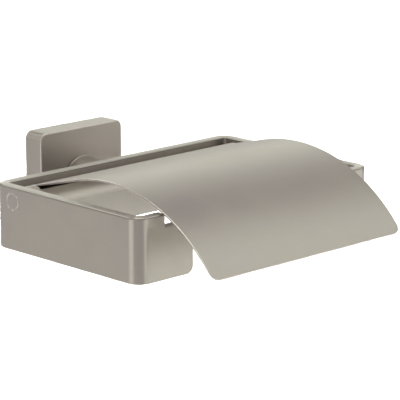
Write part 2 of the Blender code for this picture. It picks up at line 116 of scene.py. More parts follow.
DOWEL_OFFSET = 9.0 * MM
GRUB_BORE = 2.3 * MM
FIT_GAP = 0.3 * MM
M5_PITCH = 0.8 * MM
M4_PITCH = 0.7 * MM
THREAD_DEPTH = 0.6
KEY_RADIUS = 1.15 * MM
KEY_DEPTH = 2.0 * MM
LOCK_RISE = 0.2 * MM
OVER = 1.0 * MM
COUNTERSINK = 0.3 * MM
THREAD_END = 0.94
ROUND_GRAIN_RADIUS = 9.0 * MM
END_FACE = 0.7
TINY = 1e-7

# How much these edges are lightened, partly as wear and partly as a painted highlight: 0 is untouched and 1
# is bright.
PLATE_WEAR_AND_HIGHLIGHT = 0.5
BAR_WEAR_AND_HIGHLIGHT = 0.1
GROOVE_WEAR_AND_HIGHLIGHT = 0.55

# ---------------------------------------------------------------- materials

GLOSS_STRETCH = 0.75
GLOSS_TURN = 0.25
LONG_STREAK_SCALE = 0.21
CLOUD_SCALE = 34.0
SCUFF_SCALE = 420.0
COOL_TINT = (0.995, 0.985, 1.01)
WARM_TINT = (1.0, 1.008, 0.985)
STREAK_SHADE = 0.86
STREAK_AMOUNT = 0.30
STREAK_ROUGHNESS = 0.05
CLOUD_ROUGHNESS = 0.02
EDGE_POLISH = 0.10
EDGE_BLUE = 1.07
PIT_SCALE = 2600.0
PLASTIC_CLOUD_SCALE = 240.0
PLASTIC_SHADE = (0.88, 1.06)
PLASTIC_ROUGHNESS = 0.08


def new_material(name):
    """A material with its node tree and its main shader."""
    material = bpy.data.materials.new(name)
    material.use_nodes = True
    return material, material.node_tree, material.node_tree.nodes["Principled BSDF"]


def add_noise(tree, vector, scale, detail, roughness=0.5):
    node = tree.nodes.new("ShaderNodeTexNoise")
    for socket, value in (("Scale", scale), ("Detail", detail), ("Roughness", roughness)):
        node.inputs[socket].default_value = value
    tree.links.new(vector, node.inputs["Vector"])
    return node.outputs["Fac"]


def add_span(tree, source, low, high, new_low, new_high):
    """The source's range from low to high, moved to new_low to new_high."""
    node = tree.nodes.new("ShaderNodeMapRange")
    ends = (("From Min", low), ("From Max", high), ("To Min", new_low), ("To Max", new_high))
    for socket, value in ends:
        node.inputs[socket].default_value = value
    tree.links.new(source, node.inputs["Value"])
    return node.outputs["Result"]


def add_mix(tree, factor, one, two):
    """Blend of two colours, each a tuple or another node's output."""
    node = tree.nodes.new("ShaderNodeMix")
    node.data_type = "RGBA"
    tree.links.new(factor, node.inputs["Factor"])
    for socket, value in ((6, one), (7, two)):
        if isinstance(value, tuple):
            node.inputs[socket].default_value = (*value, 1.0)
        else:
            tree.links.new(value, node.inputs[socket])
    return node.outputs[2]


def add_math(tree, operation, one, two):
    node = tree.nodes.new("ShaderNodeMath")
    node.operation = operation
    tree.links.new(one, node.inputs[0])
    tree.links.new(two, node.inputs[1])
    return node.outputs["Value"]


def add_bump(tree, height, strength, depth):
    node = tree.nodes.new("ShaderNodeBump")
    node.inputs["Strength"].default_value = strength
    node.inputs["Distance"].default_value = depth
    tree.links.new(height, node.inputs["Height"])
    return node.outputs["Normal"]


def tinted(colour, tint, share=1.0):
    """The colour times the tint and the share, channel by channel, and at most 1."""
    return tuple(min(1.0, channel * factor * share) for channel, factor in zip(colour, tint))


def make_metal(name, colour, roughness, grain, streak_depth, edge_wear_and_highlight_gain=0.16, mottle=0.05):
    """Brushed metal: fine streaks along the stored grain, soft mottling, and lighter edges, partly wear and
    partly painted highlight.

    grain is the streaks' (length, width) in metres; the gloss spreads across them.
    """
    material, tree, shader = new_material(name)
    shader.inputs["Metallic"].default_value = 1.0
    shader.inputs["Anisotropic"].default_value = GLOSS_STRETCH
    shader.inputs["Anisotropic Rotation"].default_value = GLOSS_TURN
    along = tree.nodes.new("ShaderNodeTangent")
    along.direction_type = "UV_MAP"
    along.uv_map = "grain"
    tree.links.new(along.outputs["Tangent"], shader.inputs["Tangent"])

    place = tree.nodes.new("ShaderNodeTexCoord").outputs["Object"]
    unrolled = tree.nodes.new("ShaderNodeUVMap")
    unrolled.uv_map = "grain"
    stretch = tree.nodes.new("ShaderNodeMapping")
    stretch.inputs["Scale"].default_value = (1 / grain[0], 1 / grain[1], 1)
    tree.links.new(unrolled.outputs["UV"], stretch.inputs["Vector"])
    streaks = add_noise(tree, stretch.outputs["Vector"], 1.0, 5.0, 0.68)
    long_streaks = add_noise(tree, stretch.outputs["Vector"], LONG_STREAK_SCALE, 3.0)
    clouds = add_noise(tree, place, CLOUD_SCALE, 3.0, 0.55)
    scuffs = add_noise(tree, place, SCUFF_SCALE, 3.0)
    # How much each edge is lightened: the face layer "edge" times scuffs, partly wear and partly a painted
    # highlight.
    wear_and_highlight_node = tree.nodes.new("ShaderNodeAttribute")
    wear_and_highlight_node.attribute_name = "edge"
    wear_and_highlight = add_math(tree, "MULTIPLY", wear_and_highlight_node.outputs["Fac"], add_span(tree, scuffs, 0.3, 0.7, 0.7, 1.0))

    cool = tinted(colour, COOL_TINT, 1 - mottle)
    warm = tinted(colour, WARM_TINT, 1 + mottle)
    tone = add_mix(tree, add_span(tree, clouds, 0.32, 0.68, 0.0, 1.0), cool, warm)
    dark = tinted(colour, (1.0, 1.0, 1.0), STREAK_SHADE)
    lined = add_mix(tree, add_span(tree, streaks, 0.30, 0.62, STREAK_AMOUNT, 0.0), tone, dark)
    # Lighter, bluer colour on the edges, partly wear and partly a painted highlight along the rims.
    bright = tinted(colour, (1.0, 1.0, EDGE_BLUE), 1 + edge_wear_and_highlight_gain)
    tree.links.new(add_mix(tree, wear_and_highlight, lined, bright), shader.inputs["Base Color"])

    rough_high, rough_low = roughness + STREAK_ROUGHNESS, roughness - STREAK_ROUGHNESS
    base = add_span(tree, streaks, 0.25, 0.75, rough_high, rough_low)
    patch = add_span(tree, clouds, 0.3, 0.7, -CLOUD_ROUGHNESS, CLOUD_ROUGHNESS)
    polish = add_span(tree, wear_and_highlight, 0.0, 1.0, 0.0, EDGE_POLISH)
    total = add_math(tree, "SUBTRACT", add_math(tree, "ADD", base, patch), polish)
    tree.links.new(total, shader.inputs["Roughness"])

    height = add_math(tree, "ADD", streaks, long_streaks)
    tree.links.new(add_bump(tree, height, 1.0, streak_depth), shader.inputs["Normal"])
    return material


def make_plastic(name, colour, roughness, pit_depth):
    """Moulded plastic with a fine grained skin."""
    material, tree, shader = new_material(name)
    place = tree.nodes.new("ShaderNodeTexCoord").outputs["Object"]
    skin = add_noise(tree, place, PIT_SCALE, 3.0)
    clouds = add_noise(tree, place, PLASTIC_CLOUD_SCALE, 2.0)
    dark, light = (tinted(colour, (1.0, 1.0, 1.0), share) for share in PLASTIC_SHADE)
    tree.links.new(add_mix(tree, clouds, dark, light), shader.inputs["Base Color"])
    rough_low, rough_high = roughness - PLASTIC_ROUGHNESS, roughness + PLASTIC_ROUGHNESS
    tree.links.new(add_span(tree, skin, 0.0, 1.0, rough_low, rough_high), shader.inputs["Roughness"])
    tree.links.new(add_bump(tree, skin, 0.6, pit_depth), shader.inputs["Normal"])
    return material


NICKEL_COLOUR = (0.464, 0.432, 0.402)
# The strong edge gain paints bright highlights along the nickel's rims, on top of their wear.
NICKEL = make_metal("brushed_nickel_fine", NICKEL_COLOUR, 0.36, (14 * MM, 0.22 * MM), 0.0018 * MM,
                    edge_wear_and_highlight_gain=0.8, mottle=0.02)
STEEL = make_metal("stainless_fine", (0.50, 0.50, 0.49), 0.28, (3 * MM, 0.10 * MM), 0.004 * MM)
ZINC = make_metal("zinc_fine", (0.52, 0.54, 0.57), 0.38, (1.6 * MM, 1.1 * MM), 0.010 * MM, mottle=0.10)
NYLON = make_plastic("nylon_fine", (0.78, 0.76, 0.70), 0.5, 0.01 * MM)
DARK_NYLON = make_plastic("dark_nylon_fine", (0.035, 0.035, 0.036), 0.5, 0.01 * MM)

# ---------------------------------------------------------------- mesh building blocks


def arc(centre_u, centre_v, radius, start_deg, end_deg, steps):
    angles = [math.radians(start_deg + (end_deg - start_deg) * k / steps) for k in range(steps + 1)]
    return [(centre_u + radius * math.cos(a), centre_v + radius * math.sin(a)) for a in angles]


def rounded_box(half_u, half_v, radius, steps):
    """Counter-clockwise outline of a rectangle with round corners."""
    outline = []
    for quarter, (side_u, side_v) in enumerate(((1, 1), (-1, 1), (-1, -1), (1, -1))):
        centre_u, centre_v = side_u * (half_u - radius), side_v * (half_v - radius)
        outline += arc(centre_u, centre_v, radius, 90 * quarter, 90 * quarter + 90, steps)
    return outline


def inset(outline, amount):
    """The counter-clockwise outline moved inwards by amount, point for point."""
    result = []
    count = len(outline)
    for i in range(count):
        before = Vector(outline[i]) - Vector(outline[i - 1])
        after = Vector(outline[(i + 1) % count]) - Vector(outline[i])
        one = Vector((-before.y, before.x)).normalized()
        two = Vector((-after.y, after.x)).normalized()
        miter = (one + two).normalized()
        move = miter * (amount / max(0.5, miter.dot(one)))
        result.append((outline[i][0] + move.x, outline[i][1] + move.y))
    return result


def close_loops(solid, loops):
    """Quads between rings of equal counts, and a flat cap on the first and last."""
    count = len(loops[0])
    for lower, upper in zip(loops, loops[1:]):
        for i in range(count):
            j = (i + 1) % count
            solid.faces.new((lower[i], lower[j], upper[j], upper[i]))
    solid.faces.new(loops[0][::-1])
    solid.faces.new(loops[-1])


def slab(outline, thickness, edge, steps=4, rim_wear_and_highlight=1.0):
    """A flat plate in (u, v) with both rims rounded; the third coordinate runs across its thickness."""
    solid = bmesh.new()
    wear_and_highlight = solid.faces.layers.float.new("edge")
    loops = []
    half = thickness / 2
    for sign in (1, -1):
        order = range(steps + 1) if sign > 0 else range(steps, -1, -1)
        for k in order:
            turn = math.radians(90) * k / steps
            ring = inset(outline, edge * (1 - math.sin(turn)))
            height = sign * (half - edge * (1 - math.cos(turn)))
            loops.append([solid.verts.new((u, v, height)) for u, v in ring])
    close_loops(solid, loops)
    solid.faces.ensure_lookup_table()
    # Rim faces get the given share of wear and painted highlight; the flat faces get none.
    for face in solid.faces:
        heights = [abs(v.co.z) for v in face.verts]
        face[wear_and_highlight] = rim_wear_and_highlight if max(heights) - min(heights) > TINY else 0.0
    return solid


def turned(profile, steps=96, worn_and_highlit_above=None):
    """Turn (radius, height) points about local +Z; solid if the ends are on the axis, else a ring.

    Sloping faces from the given height upwards count as edges with wear and a painted highlight.
    """
    solid = bmesh.new()
    wear_and_highlight = solid.faces.layers.float.new("edge")
    rings = []
    turns = [2 * math.pi * k / steps for k in range(steps)]
    for radius, height in profile:
        if radius > 0:
            points = [(radius * math.cos(a), radius * math.sin(a), height) for a in turns]
            rings.append([solid.verts.new(point) for point in points])
    pairs = list(zip(rings, rings[1:]))
    if profile[0][0] > 0:
        pairs.append((rings[-1], rings[0]))
    else:
        solid.faces.new(rings[0][::-1])
        solid.faces.new(rings[-1])
    for one, two in pairs:
        low, high = sorted((one[0].co.z, two[0].co.z))
        slopes = worn_and_highlit_above is not None and high - low > TINY and low > worn_and_highlit_above - TINY
        for k in range(steps):
            n = (k + 1) % steps
            face = solid.faces.new((one[k], one[n], two[n], two[k]))
            face[wear_and_highlight] = GROOVE_WEAR_AND_HIGHLIGHT if slopes else 0.0
    return solid


def soft_rod(radius, low, high, soft):
    """Profile of a solid rod with rounded ends."""
    return [(0, low)] + soft_ends(radius, low, high, soft) + [(0, high)]


def soft_ends(radius, low, high, soft, steps=4):
    start = arc(radius - soft, low + soft, soft, -90, 0, steps)
    end = arc(radius - soft, high - soft, soft, 0, 90, steps)
    return start + end


def soft_tube(inner, outer, low, high, soft):
    """Profile of a ring or sleeve with rounded outer rims."""
    return [(inner, low)] + soft_ends(outer, low, high, soft) + [(inner, high)]


def threaded(radius, low, high, pitch, steps=28):
    """Rod with a real helical thread along local +Z and chamfered ends."""
    solid = bmesh.new()
    solid.faces.layers.float.new("edge")
    root = radius - THREAD_DEPTH * pitch
    end_radius = root * THREAD_END
    shape = (root, root, radius, radius)
    rows = int((high - low) / pitch * 4) + 10
    columns = []
    for a in range(steps + 1):
        column = []
        for j in range(-5, rows):
            z = low + pitch * (j / 4 + a / steps)
            reach = shape[j % 4]
            held = min(max(z, low), high)
            chamfer = radius - pitch + min(held - low, high - held)
            reach = min(reach, max(chamfer, end_radius))
            if held != z:
                reach = end_radius
            angle = 2 * math.pi * a / steps
            column.append(solid.verts.new((reach * math.cos(angle), reach * math.sin(angle), held)))
        columns.append(column)
    for one, two in zip(columns, columns[1:]):
        for j in range(len(one) - 1):
            solid.faces.new((one[j], two[j], two[j + 1], one[j + 1]))
    bmesh.ops.remove_doubles(solid, verts=solid.verts, dist=TINY)
    bmesh.ops.dissolve_degenerate(solid, edges=solid.edges, dist=TINY)
    bmesh.ops.holes_fill(solid, edges=[e for e in solid.edges if e.is_boundary], sides=0)
    return solid


def add_object(name, data):
    obj = bpy.data.objects.new(name, data)
    bpy.context.collection.objects.link(obj)
    return obj


def to_object(name, solid, place=Matrix.Identity(4)):
    bmesh.ops.recalc_face_normals(solid, faces=solid.faces)
    mesh = bpy.data.meshes.new(name)
    solid.to_mesh(mesh)
    solid.free()
    mesh.transform(place)
    return add_object(name, mesh)


def cut(solid, cutters, operation="DIFFERENCE"):
    """The bmesh after the cutters, also bmeshes, were taken out of it, or its overlap with them."""
    target = to_object("target", solid)
    helpers = []
    for cutter in cutters:
        helper = to_object("cutter", cutter)
        helpers.append(helper)
        modifier = target.modifiers.new("cut", "BOOLEAN")
        modifier.operation = operation
        modifier.solver = "EXACT"
        modifier.object = helper
    bpy.context.view_layer.update()
    graph = bpy.context.evaluated_depsgraph_get()
    result = bmesh.new()
    result.from_object(target, graph)
    for obj in [target, *helpers]:
        mesh = obj.data
        bpy.data.objects.remove(obj)
        bpy.data.meshes.remove(mesh)
    return result


def drill(radius, low, high, flare=0.0, steps=64):
    """Cutter for a hole along +Z from low to high, with a countersink of the width flare at high."""
    if not flare:
        return turned([(0, low), (radius, low), (radius, high), (0, high)], steps)
    top = high + OVER
    profile = [(0, low), (radius, low), (radius, high - flare), (radius + flare + OVER, top), (0, top)]
    return turned(profile, steps, high - flare)


def moved(solid, place):
    bmesh.ops.transform(solid, matrix=place, verts=solid.verts)
    return solid


FACING = {"up": Matrix.Identity(4),
          "down": Matrix.Rotation(math.radians(180), 4, "X"),
          "front": Matrix.Rotation(math.radians(90), 4, "X"),
          "wall": Matrix.Rotation(math.radians(-90), 4, "X"),
          "right": Matrix.Rotation(math.radians(90), 4, "Y"),
          "left": Matrix.Rotation(math.radians(-90), 4, "Y")}


def at(point, facing="up"):
    return Matrix.Translation(Vector(point)) @ FACING[facing]


def slice_along(solid, axis, stations):
    """Add edges across the sheet at each station, so that it can be bent there."""
    normal = Vector((1, 0, 0)) if axis == 0 else Vector((0, 1, 0))
    for station in stations:
        geometry = solid.verts[:] + solid.edges[:] + solid.faces[:]
        bmesh.ops.bisect_plane(solid, geom=geometry, dist=1e-8, plane_co=normal * station, plane_no=normal)


def flat_grain(point, normal):
    """Grain along X, and along the rim on the faces that look along X."""
    size = [abs(c) for c in normal]
    if size[2] >= max(size[0], size[1]):
        return (point.x, point.y)
    if size[1] >= size[0]:
        return (point.x, point.z)
    return (point.y, point.z)


def round_grain(point, normal):
    """Grain that runs round the turning axis, on the ends too; the seam is where local Y is least."""
    angle = math.atan2(point.x, point.y)
    radius = math.hypot(point.x, point.y)
    across = radius if abs(normal.z) > END_FACE else point.z
    return (angle * ROUND_GRAIN_RADIUS, across)


def store_grain(solid, grain):
    """Unrolled coordinates in metres: u along the grain and v across it."""
    solid.normal_update()
    layer = solid.loops.layers.uv.new("grain")
    turn = 2 * math.pi * ROUND_GRAIN_RADIUS
    for face in solid.faces:
        places = [grain(loop.vert.co, face.normal) for loop in face.loops]
        wraps = grain is round_grain and max(u for u, v in places) - min(u for u, v in places) > turn / 2
        for loop, (u, v) in zip(face.loops, places):
            loop[layer].uv = (u + turn if wraps and u < 0 else u, v)


def finish_piece(name, solid, material, body, slot, node, place=None, grain=flat_grain, bend=None, sharp=34):
    """Store the grain, bend or place the mesh, shade it, and let it take the CAD node's place in its body."""
    bmesh.ops.recalc_face_normals(solid, faces=solid.faces)
    store_grain(solid, grain)
    if bend:
        for vert in solid.verts:
            vert.co = Vector(bend(*vert.co))
    piece = to_object(name, solid, place or Matrix.Identity(4))
    piece.data.shade_smooth()
    piece.data.set_sharp_from_angle(angle=math.radians(sharp))
    piece.data.materials.append(material)
    normals = piece.modifiers.new("even_normals", "WEIGHTED_NORMAL")
    normals.keep_sharp = True
    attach(piece, body)
    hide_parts(node)


# ---------------------------------------------------------------- wall plate

PLATE_RIM = 0.25 * MM
PLATE_EDGE_STEPS = 6
PLATE_CORNER_STEPS = 14
GRUB_Y = (grub_low.y + grub_high.y) / 2


def plate_grain(point, normal):
    """Grain along X on the front and the level sides, and upright on the other sides."""
    size = [abs(c) for c in normal]
    if size[1] >= max(size[0], size[2]):
        return (point.x, point.z)
    return (point.x, point.y) if size[2] >= size[0] else (point.z, point.y)


def make_plate():
    """Square cover, open at the back, with a soft front edge."""
    solid = bmesh.new()
    wear_and_highlight = solid.faces.layers.float.new("edge")
    depth = -PLATE_FRONT_Y
    inner_half = PLATE_HALF - PLATE_WALL
    inner_corner = PLATE_CORNER - PLATE_WALL
    rim = PLATE_RIM
    levels = [(inner_half, inner_corner, depth - PLATE_WALL), (inner_half, inner_corner, rim),
              (inner_half + rim, inner_corner + rim, 0), (PLATE_HALF - rim, PLATE_CORNER - rim, 0),
              (PLATE_HALF, PLATE_CORNER, rim)]
    for k in range(PLATE_EDGE_STEPS + 1):
        turn = math.radians(90) * k / PLATE_EDGE_STEPS
        back = PLATE_EDGE * (1 - math.cos(turn))
        levels.append((PLATE_HALF - back, PLATE_CORNER - back, depth - PLATE_EDGE * (1 - math.sin(turn))))
    loops = []
    for half, corner, level in levels:
        outline = rounded_box(half, half, corner, PLATE_CORNER_STEPS)
        loops.append([solid.verts.new((u, -level, v)) for u, v in outline])
    close_loops(solid, loops)
    # The outer front rounding gets wear and a painted highlight.
    for face in solid.faces:
        middle = face.calc_center_median()
        outside = max(abs(middle.x), abs(middle.z)) > inner_half + rim
        face[wear_and_highlight] = PLATE_WEAR_AND_HIGHLIGHT if outside and TINY < middle.y + depth < PLATE_EDGE else 0.0
    stud_hole = drill(STUD_BORE, -OVER, PLATE_WALL + OVER)
    dowel_hole = drill(DOWEL_BORE, -OVER, PLATE_WALL + OVER, steps=32)
    grub_hole = drill(GRUB_BORE, -PLATE_WALL - OVER, 0, flare=COUNTERSINK)
    solid = cut(solid, [moved(stud_hole, at((0, PLATE_FRONT_Y, 0), "wall")),
                        moved(dowel_hole, at((0, PLATE_FRONT_Y, DOWEL_OFFSET), "wall")),
                        moved(grub_hole, at((0, GRUB_Y, -PLATE_HALF), "down"))])
    finish_piece("wall_plate_cover", solid, NICKEL, "holder", "brushed_nickel", "wall_plate",
                 grain=plate_grain)


# ---------------------------------------------------------------- post

POST_DOWEL_DEPTH = 4.7 * MM
POST_SOFT = 0.12 * MM


def make_post():
    """Turned post with small chamfers, bored through for the stud and the dowels."""
    length_low, length_high = -post_high.y, -post_low.y
    chamfer = POST_CHAMFER
    soft = POST_SOFT
    foot_top = length_low + POST_FOOT_LENGTH
    step = POST_FOOT_RADIUS - POST_RADIUS
    profile = [(STUD_BORE, length_low), (POST_FOOT_RADIUS - soft, length_low),
               (POST_FOOT_RADIUS, length_low + soft), (POST_FOOT_RADIUS, foot_top - step)]
    profile += arc(POST_FOOT_RADIUS, foot_top, step, -110, -180, 6)
    corner = ((0, chamfer + soft), (soft, chamfer - soft), (chamfer - soft, soft), (chamfer + soft, 0))
    profile += [(POST_RADIUS - inward, length_high - back) for inward, back in corner]
    profile.append((STUD_BORE, length_high))
    solid = turned(profile, 160)
    back_hole = drill(DOWEL_BORE, length_low - OVER, length_low + POST_DOWEL_DEPTH, steps=32)
    front_hole = drill(DOWEL_BORE, length_high - POST_DOWEL_DEPTH, length_high + OVER, steps=32)
    for hole in (back_hole, front_hole):
        solid = cut(solid, [moved(hole, Matrix.Translation((0, DOWEL_OFFSET, 0)))])
    finish_piece("post_bar", solid, NICKEL, "holder", "brushed_nickel", "post",
                 place=at((0, 0, 0), "front"), grain=round_grain)


# ---------------------------------------------------------------- frame

BEND_RADIUS = BAR_CORNER - BAR_THICKNESS / 2
SIDE_LENGTH = (BAR_BACK_Y - BAR_FRONT_Y) - 2 * BAR_CORNER
BACK_LENGTH = 2 * BAR_HALF_WIDTH - 2 * BAR_CORNER
RETURN_LENGTH = BAR_HALF_WIDTH - BAR_CORNER - TONGUE_TIP_X
BEND_LENGTH = BEND_RADIUS * math.pi / 2
BAR_LENGTH = 2 * RETURN_LENGTH + 2 * SIDE_LENGTH + BACK_LENGTH + 4 * BEND_LENGTH
BAR_LEGS = (RETURN_LENGTH, SIDE_LENGTH, BACK_LENGTH, SIDE_LENGTH, RETURN_LENGTH)
BEND_STEPS = 20
BAR_STUD_DEPTH = 4.3 * MM
BAR_DOWEL_DEPTH = 3.8 * MM


def bar_path(along):
    """Place and outward direction of the bar's middle line, in plan, at a length from the left tip."""
    place = Vector((-TONGUE_TIP_X, BAR_FRONT_Y + BAR_THICKNESS / 2))
    heading = math.radians(180)
    remaining = along
    for number, leg in enumerate(BAR_LEGS):
        forward = Vector((math.cos(heading), math.sin(heading)))
        if remaining <= leg or number == len(BAR_LEGS) - 1:
            place = place + forward * remaining
            break
        place = place + forward * leg
        remaining -= leg
        inward = Vector((forward.y, -forward.x))
        centre = place + inward * BEND_RADIUS
        turn = min(remaining, BEND_LENGTH) / BEND_RADIUS
        spoke = place - centre
        place = centre + Matrix.Rotation(-turn, 2) @ spoke
        heading -= turn
        remaining -= BEND_LENGTH
        if remaining <= 0:
            break
    outward = Vector((-math.sin(heading), math.cos(heading)))
    return place, outward


def bend_bar(along, height, across):
    place, outward = bar_path(along)
    return (place.x + outward.x * across, place.y + outward.y * across, height)


def bar_outline():
    """The unrolled bar from its outer side, counter-clockwise, with the steps and the tongues' round ends."""
    ledge = BAR_TOP - TONGUE_DROP
    step = TONGUE_STEP_X - TONGUE_TIP_X
    tip = TONGUE_TIP_RADIUS
    soft = STEP_FILLET
    end = arc(tip, BAR_BOTTOM + tip, tip, 180, 270, 12)
    far = [(BAR_LENGTH - u, v) for u, v in end][::-1]
    upper = arc(tip, ledge - tip, tip, 180, 90, 12)
    upper += arc(step - soft, ledge + soft, soft, -90, 0, 6)
    upper += arc(step + soft, BAR_TOP - soft, soft, 180, 90, 6)
    far_upper = [(BAR_LENGTH - u, v) for u, v in upper]
    return end + far + far_upper + upper[::-1]


def make_bar():
    """One flat bar with its rims rounded, bent round four corners, with a hole for each hinge pin."""
    solid = slab(bar_outline(), BAR_THICKNESS, BAR_EDGE, rim_wear_and_highlight=BAR_WEAR_AND_HIGHLIGHT)
    half = BAR_THICKNESS / 2
    pin_along = RETURN_LENGTH + BEND_LENGTH + (HINGE.y - (BAR_FRONT_Y + BAR_CORNER))
    middle = BAR_LENGTH / 2
    cutters = []
    for along in (pin_along, BAR_LENGTH - pin_along):
        hole = drill(PIN_HOLE_RADIUS, -half - OVER, half, flare=PIN_GROOVE, steps=96)
        cutters.append(moved(hole, Matrix.Translation((along, HINGE.z, 0))))
    stud_hole = drill(STUD_BORE, half - BAR_STUD_DEPTH, half + OVER)
    cutters.append(moved(stud_hole, Matrix.Translation((middle, 0, 0))))
    dowel_hole = drill(DOWEL_BORE, half - BAR_DOWEL_DEPTH, half + OVER, steps=32)
    cutters.append(moved(dowel_hole, Matrix.Translation((middle, DOWEL_OFFSET, 0))))
    solid = cut(solid, cutters)
    stations = []
    start = 0
    for leg in BAR_LEGS[:-1]:
        start += leg
        stations += [start + BEND_LENGTH * k / BEND_STEPS for k in range(BEND_STEPS + 1)]
        start += BEND_LENGTH
    slice_along(solid, 0, stations)
    finish_piece("frame_bar", solid, NICKEL, "holder", "brushed_nickel", "frame", bend=bend_bar, sharp=40)


# ---------------------------------------------------------------- lid

RISE = math.radians(LID_RISE_DEG)
ROLL_START = math.radians(270 + LID_ROLL_END_DEG)
ROLL_LENGTH = BARREL_RADIUS * (ROLL_START - RISE)
ARC_LENGTH = LID_ARC_RADIUS * math.radians(LID_ARC_DEG)
SHEET_LENGTH = ROLL_LENGTH + LID_STRAIGHT + ARC_LENGTH
ROLL_CORNER = 0.4 * MM
ROLL_STEPS = 80
ARC_STEPS = 72


def bend_lid(across, along, lift):
    """Place on the bent sheet at a length from the roll's free edge and a lift from the sheet's middle."""
    if along <= ROLL_LENGTH:
        angle = ROLL_START - along / BARREL_RADIUS
        y = HINGE.y + BARREL_RADIUS * math.sin(angle)
        z = HINGE.z + BARREL_RADIUS * math.cos(angle)
    else:
        angle = RISE
        run = min(along - ROLL_LENGTH, LID_STRAIGHT)
        y = HINGE.y + BARREL_RADIUS * math.sin(RISE) - run * math.cos(RISE)
        z = HINGE.z + BARREL_RADIUS * math.cos(RISE) + run * math.sin(RISE)
        rest = along - ROLL_LENGTH - LID_STRAIGHT
        if rest > 0:
            centre_y = y - LID_ARC_RADIUS * math.sin(RISE)
            centre_z = z - LID_ARC_RADIUS * math.cos(RISE)
            angle = RISE - rest / LID_ARC_RADIUS
            y = centre_y + LID_ARC_RADIUS * math.sin(angle)
            z = centre_z + LID_ARC_RADIUS * math.cos(angle)
    depth = LID_THICKNESS / 2 - lift
    return (across, y - depth * math.sin(angle), z - depth * math.cos(angle))


def make_lid():
    """Thin sheet with round front corners and soft rims, rolled into the barrel at the back.

    The rims get wear and a painted highlight; the front cut edge gets neither.
    """
    half = LID_HALF_WIDTH
    corner = LID_CORNER
    outline = arc(-half + ROLL_CORNER, ROLL_CORNER, ROLL_CORNER, 180, 270, 4)
    outline += arc(half - ROLL_CORNER, ROLL_CORNER, ROLL_CORNER, 270, 360, 4)
    outline += arc(half - corner, SHEET_LENGTH - corner, corner, 0, 90, 20)
    outline += arc(-half + corner, SHEET_LENGTH - corner, corner, 90, 180, 20)
    solid = slab(outline, LID_THICKNESS, LID_EDGE, 3)
    wear_and_highlight = solid.faces.layers.float["edge"]
    solid.normal_update()
    for face in solid.faces:
        if face.normal.y > abs(face.normal.x):
            face[wear_and_highlight] = 0.0
    stations = [ROLL_LENGTH * k / ROLL_STEPS for k in range(1, ROLL_STEPS + 1)]
    stations += [ROLL_LENGTH + LID_STRAIGHT + ARC_LENGTH * k / ARC_STEPS for k in range(ARC_STEPS)]
    slice_along(solid, 1, stations)
    finish_piece("lid_sheet", solid, NICKEL, "lid", "brushed_nickel", "lid", bend=bend_lid, sharp=40)


# ---------------------------------------------------------------- hinge

KNUCKLE_SOFT = 0.45 * MM
KNUCKLE_SEAM = 0.22 * MM
RING_SOFT = 0.2 * MM
PIN_SOFT = 0.4 * MM
PIN_CREASE = 0.08 * MM
JOURNAL_BORE = PIN_JOURNAL_RADIUS + FIT_GAP


def pin_grain(point, normal):
    """The flat end is brushed with the bar that it sits in, level and parallel to the wall's length."""
    return (point.y, point.x) if abs(normal.z) > END_FACE else round_grain(point, normal)


def reach(node):
    """Nearest and farthest distance of a hinge node from the middle plane, and its radius about the hinge."""
    low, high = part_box(node)
    near, far = sorted((abs(low.x), abs(high.x)))
    return near, far, high.z - HINGE.z


def make_hinge(side):
    """Knuckle, bush, spacer and pin of one side, each turned about the hinge line."""
    place = at((0, HINGE.y, HINGE.z), side)
    bush_start, bush_end, bush_radius = reach(f"hinge_bush_{side}")
    bore = bush_radius + FIT_GAP
    bore_floor = bush_start - FIT_GAP
    inner_x = LID_HALF_WIDTH
    outer_x = reach(f"hinge_knuckle_{side}")[1]
    knuckle = [(0, inner_x), (BARREL_RADIUS - KNUCKLE_SEAM, inner_x), (BARREL_RADIUS, inner_x + KNUCKLE_SEAM)]
    knuckle += arc(BARREL_RADIUS - KNUCKLE_SOFT, outer_x - KNUCKLE_SOFT, KNUCKLE_SOFT, 0, 90, 6)
    knuckle += [(bore, outer_x), (bore, bore_floor), (0, bore_floor)]
    finish_piece(f"hinge_knuckle_{side}_round", turned(knuckle, 128), NICKEL, "lid", "brushed_nickel",
                 f"hinge_knuckle_{side}", place=place, grain=round_grain)

    bush = soft_tube(JOURNAL_BORE, bush_radius, bush_start, bush_end, RING_SOFT)
    finish_piece(f"hinge_bush_{side}_sleeve", turned(bush, 64), NYLON, "lid", "white_nylon",
                 f"hinge_bush_{side}", place=place)

    spacer_start, spacer_end, spacer_radius = reach(f"hinge_spacer_{side}")
    spacer = soft_tube(JOURNAL_BORE, spacer_radius, spacer_start, spacer_end, RING_SOFT)
    finish_piece(f"hinge_spacer_{side}_ring", turned(spacer, 96), DARK_NYLON, "holder", "dark_nylon",
                 f"hinge_spacer_{side}", place=place)

    journal_start, head_top, _ = reach(f"hinge_pin_{side}")
    head_start = head_top - BAR_THICKNESS + FIT_GAP
    groove_bottom = head_top - PIN_GROOVE
    groove_radius = PIN_HEAD_RADIUS - PIN_GROOVE
    pin = [(0, journal_start)]
    pin += arc(PIN_JOURNAL_RADIUS - PIN_SOFT, journal_start + PIN_SOFT, PIN_SOFT, -90, 0, 4)
    pin += [(PIN_JOURNAL_RADIUS, head_start), (PIN_HEAD_RADIUS, head_start), (PIN_HEAD_RADIUS, groove_bottom),
            (groove_radius + PIN_CREASE, head_top - PIN_CREASE / 2), (groove_radius - PIN_CREASE, head_top),
            (0, head_top)]
    solid = turned(pin, 96, groove_bottom)
    finish_piece(f"hinge_pin_{side}_turned", solid, NICKEL, "holder", "brushed_nickel",
                 f"hinge_pin_{side}", place=place, grain=pin_grain)


# ---------------------------------------------------------------- bracket

